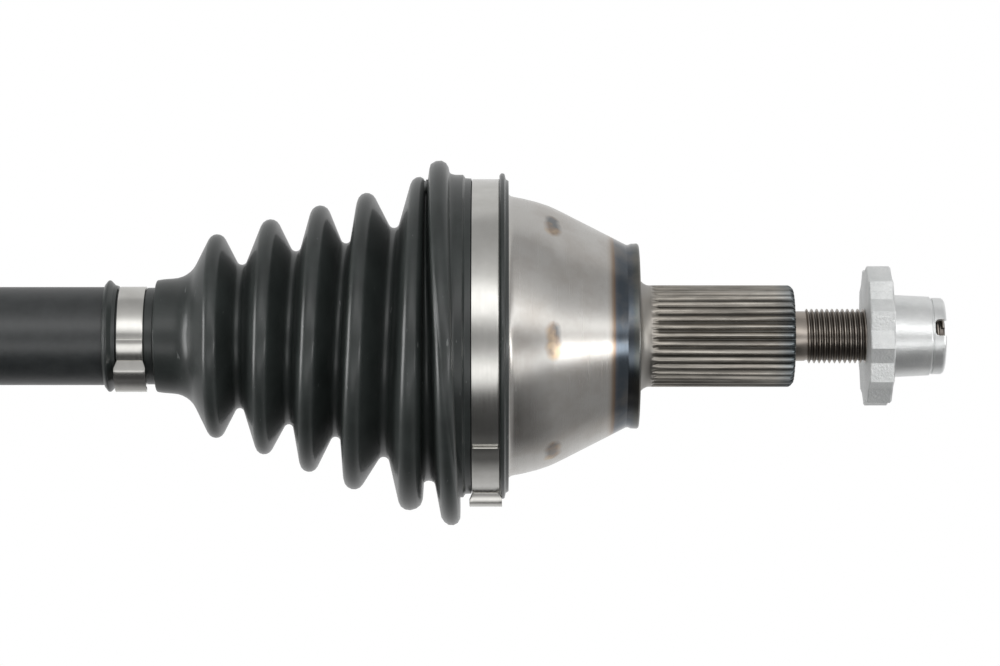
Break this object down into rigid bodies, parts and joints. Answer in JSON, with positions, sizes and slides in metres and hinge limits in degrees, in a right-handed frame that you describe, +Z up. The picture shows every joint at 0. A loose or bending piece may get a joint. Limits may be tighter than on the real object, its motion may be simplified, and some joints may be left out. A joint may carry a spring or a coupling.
{
  "type": "drive shaft",
  "caption": "Wheel-side end of a car drive shaft: solid bar, ribbed rubber boot with ear clamps, ball-type constant-velocity joint, splined stub and slotted collar nut.",
  "frame": {"origin": "on the shaft's axis, in the plane of the shoulder that the wheel bearing rests against", "axes": "+X along the axis towards the wheel, +Z up, with the bar in line with the stub at rest"},
  "size_m": [0.4475, 0.1076, 0.1076],
  "materials": {
    "turned_steel": "turned, oiled, heat-tinted at the shoulder",
    "boot_rubber": "moulded, satin",
    "clamp_steel": "bright stainless strip",
    "black_paint": "satin black paint",
    "race_steel": "hardened and ground, greased",
    "ball_steel": "polished bearing steel",
    "spring_steel": "phosphated spring steel",
    "zinc_plate": "bright zinc plate"
  },
  "bodies": {
    "bell": {"outer_race_stub": "turned_steel", "cv_boot": "boot_rubber", "large_boot_clamp": "clamp_steel"},
    "shaft": {"axle_bar": "black_paint", "inner_race": "race_steel", "race_circlip": "spring_steel", "race_stop_ring": "spring_steel", "small_boot_clamp": "clamp_steel", "inner_end_circlip": "spring_steel"},
    "cage": {"ball_cage": "race_steel"},
    "nut": {"hub_nut": "zinc_plate"},
    "track_ball_1": {"ball_1": "ball_steel"},
    "track_ball_2": {"ball_2": "ball_steel"},
    "track_ball_3": {"ball_3": "ball_steel"},
    "track_ball_4": {"ball_4": "ball_steel"},
    "track_ball_5": {"ball_5": "ball_steel"},
    "track_ball_6": {"ball_6": "ball_steel"}
  },
  "joints": [
    {"name": "joint_tilt", "type": "hinge", "parent": "bell", "child": "shaft", "pos_m": [-0.038, 0, 0], "axis": [0, 1, 0], "range_deg": [-45, 45], "deforming": ["cv_boot"]},
    {"name": "cage_tilt", "type": "hinge", "parent": "bell", "child": "cage", "pos_m": [-0.038, 0, 0], "axis": [0, 1, 0], "range_deg": [-23, 23]},
    {"name": "ball_1_roll", "type": "hinge", "parent": "bell", "child": "track_ball_1", "pos_m": [-0.0405, 0, 0], "axis": [0, 1, 0], "range_deg": [-23, 23]},
    {"name": "ball_2_roll", "type": "hinge", "parent": "bell", "child": "track_ball_2", "pos_m": [-0.0405, 0, 0], "axis": [0, 0.5, 0.866], "range_deg": [-11.5, 11.5]},
    {"name": "ball_3_roll", "type": "hinge", "parent": "bell", "child": "track_ball_3", "pos_m": [-0.0405, 0, 0], "axis": [0, -0.5, 0.866], "range_deg": [-11.5, 11.5]},
    {"name": "ball_4_roll", "type": "hinge", "parent": "bell", "child": "track_ball_4", "pos_m": [-0.0405, 0, 0], "axis": [0, -1, 0], "range_deg": [-23, 23]},
    {"name": "ball_5_roll", "type": "hinge", "parent": "bell", "child": "track_ball_5", "pos_m": [-0.0405, 0, 0], "axis": [0, -0.5, -0.866], "range_deg": [-11.5, 11.5]},
    {"name": "ball_6_roll", "type": "hinge", "parent": "bell", "child": "track_ball_6", "pos_m": [-0.0405, 0, 0], "axis": [0, 0.5, -0.866], "range_deg": [-11.5, 11.5]},
    {"name": "nut_turn", "type": "hinge", "parent": "bell", "child": "nut", "pos_m": [0.07, 0, 0], "axis": [1, 0, 0], "continuous": true}
  ],
  "couplings": [
    {"joint": "cage_tilt", "follows": "joint_tilt", "ratio": 0.5},
    {"joint": "ball_1_roll", "follows": "joint_tilt", "ratio": 0.5},
    {"joint": "ball_2_roll", "follows": "joint_tilt", "ratio": 0.25},
    {"joint": "ball_3_roll", "follows": "joint_tilt", "ratio": -0.25},
    {"joint": "ball_4_roll", "follows": "joint_tilt", "ratio": -0.5},
    {"joint": "ball_5_roll", "follows": "joint_tilt", "ratio": -0.25},
    {"joint": "ball_6_roll", "follows": "joint_tilt", "ratio": 0.25}
  ]
}
